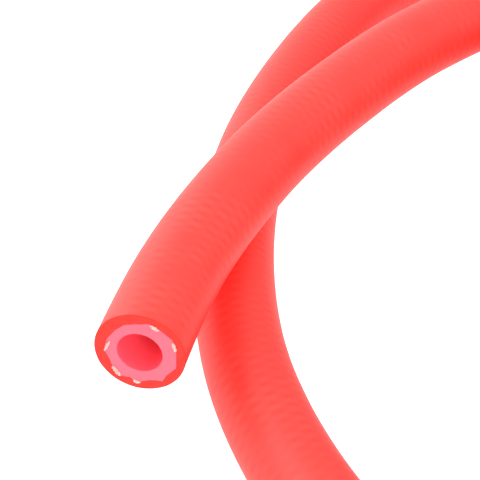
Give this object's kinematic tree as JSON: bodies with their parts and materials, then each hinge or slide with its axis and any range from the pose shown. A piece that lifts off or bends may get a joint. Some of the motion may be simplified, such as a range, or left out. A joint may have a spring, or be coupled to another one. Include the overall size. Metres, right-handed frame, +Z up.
{
  "type": "air hose",
  "caption": "Braided rubber air hose with square-cut open ends, wound into a neat tied coil with one loose turn beside it.",
  "frame": {"origin": "middle of the part's footprint, on the surface that it lies on", "axes": "+Z up, across the coil; +X from the raised near end towards the coil; the near end's mouth looks roughly along -Y"},
  "size_m": [0.3477, 0.2904, 0.0429],
  "materials": {
    "cover": "satin",
    "braid": "matte",
    "liner": "satin",
    "tie": "matte"
  },
  "bodies": {
    "root": {"cover": "cover", "braid_sleeve": "braid", "inner_tube": "liner", "yarn_ends_a": "braid", "yarn_ends_b": "braid", "coil_tie_1": "tie", "coil_tie_2": "tie", "coil_tie_3": "tie"}
  },
  "joints": []
}
